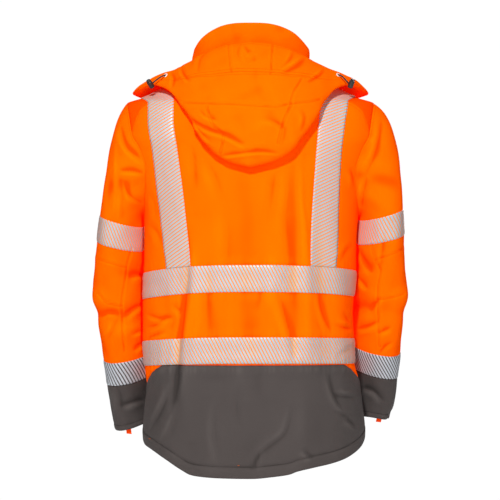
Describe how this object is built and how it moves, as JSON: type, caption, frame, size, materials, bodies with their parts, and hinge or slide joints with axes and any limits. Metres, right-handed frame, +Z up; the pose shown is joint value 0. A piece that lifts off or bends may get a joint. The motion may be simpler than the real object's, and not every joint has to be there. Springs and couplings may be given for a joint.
{
  "type": "hi-vis work jacket",
  "caption": "Hooded high-visibility work jacket, worn and hollow, with reflective tapes, a grey lower part, a dropped tail hem and a front zip whose pull tab swings.",
  "frame": {"origin": "middle of the neck opening, level with the collar seam at the back, where the wearer's neck and shoulders hold the jacket up", "axes": "+Z up along the body, +Y to the wearer's back, +X to the wearer's left"},
  "size_m": [0.6107, 0.3542, 0.871],
  "materials": {
    "orange_cloth": "matt fluorescent woven shell",
    "shoulder_cloth": "matt fluorescent woven shell, deeper shade",
    "grey_cloth": "matt woven shell",
    "reflective_tape": "silver retroreflective film in slanted bars",
    "zip_plastic": "moulded zip chain",
    "zip_metal": "dark enamel",
    "lock_plastic": "moulded, satin",
    "elastic_cord": "braided elastic"
  },
  "bodies": {
    "jacket": {"back": "orange_cloth", "front_left": "orange_cloth", "front_right": "orange_cloth", "sleeve_left": "orange_cloth", "sleeve_right": "orange_cloth", "collar": "orange_cloth", "hood": "orange_cloth", "hood_brim": "orange_cloth", "yoke_left": "shoulder_cloth", "yoke_right": "shoulder_cloth", "back_lower": "grey_cloth", "front_lower_left": "grey_cloth", "front_lower_right": "grey_cloth", "cuff_left": "grey_cloth", "cuff_right": "grey_cloth", "body_tape_upper": "reflective_tape", "body_tape_lower": "reflective_tape", "brace_left": "reflective_tape", "brace_right": "reflective_tape", "sleeve_tape_upper_left": "reflective_tape", "sleeve_tape_upper_right": "reflective_tape", "sleeve_tape_lower_left": "reflective_tape", "sleeve_tape_lower_right": "reflective_tape", "zip_chain": "zip_plastic", "zip_slider": "zip_metal", "cord_lock_left": "lock_plastic", "cord_lock_right": "lock_plastic", "hood_cord_left": "elastic_cord", "hood_cord_right": "elastic_cord"},
    "zip_pull": {"zip_pull": "zip_metal"}
  },
  "joints": [
    {"name": "zip_pull_hinge", "type": "hinge", "parent": "jacket", "child": "zip_pull", "pos_m": [0, -0.11239, -0.01248], "axis": [-1, 0, 0], "range_deg": [0, 170]}
  ]
}
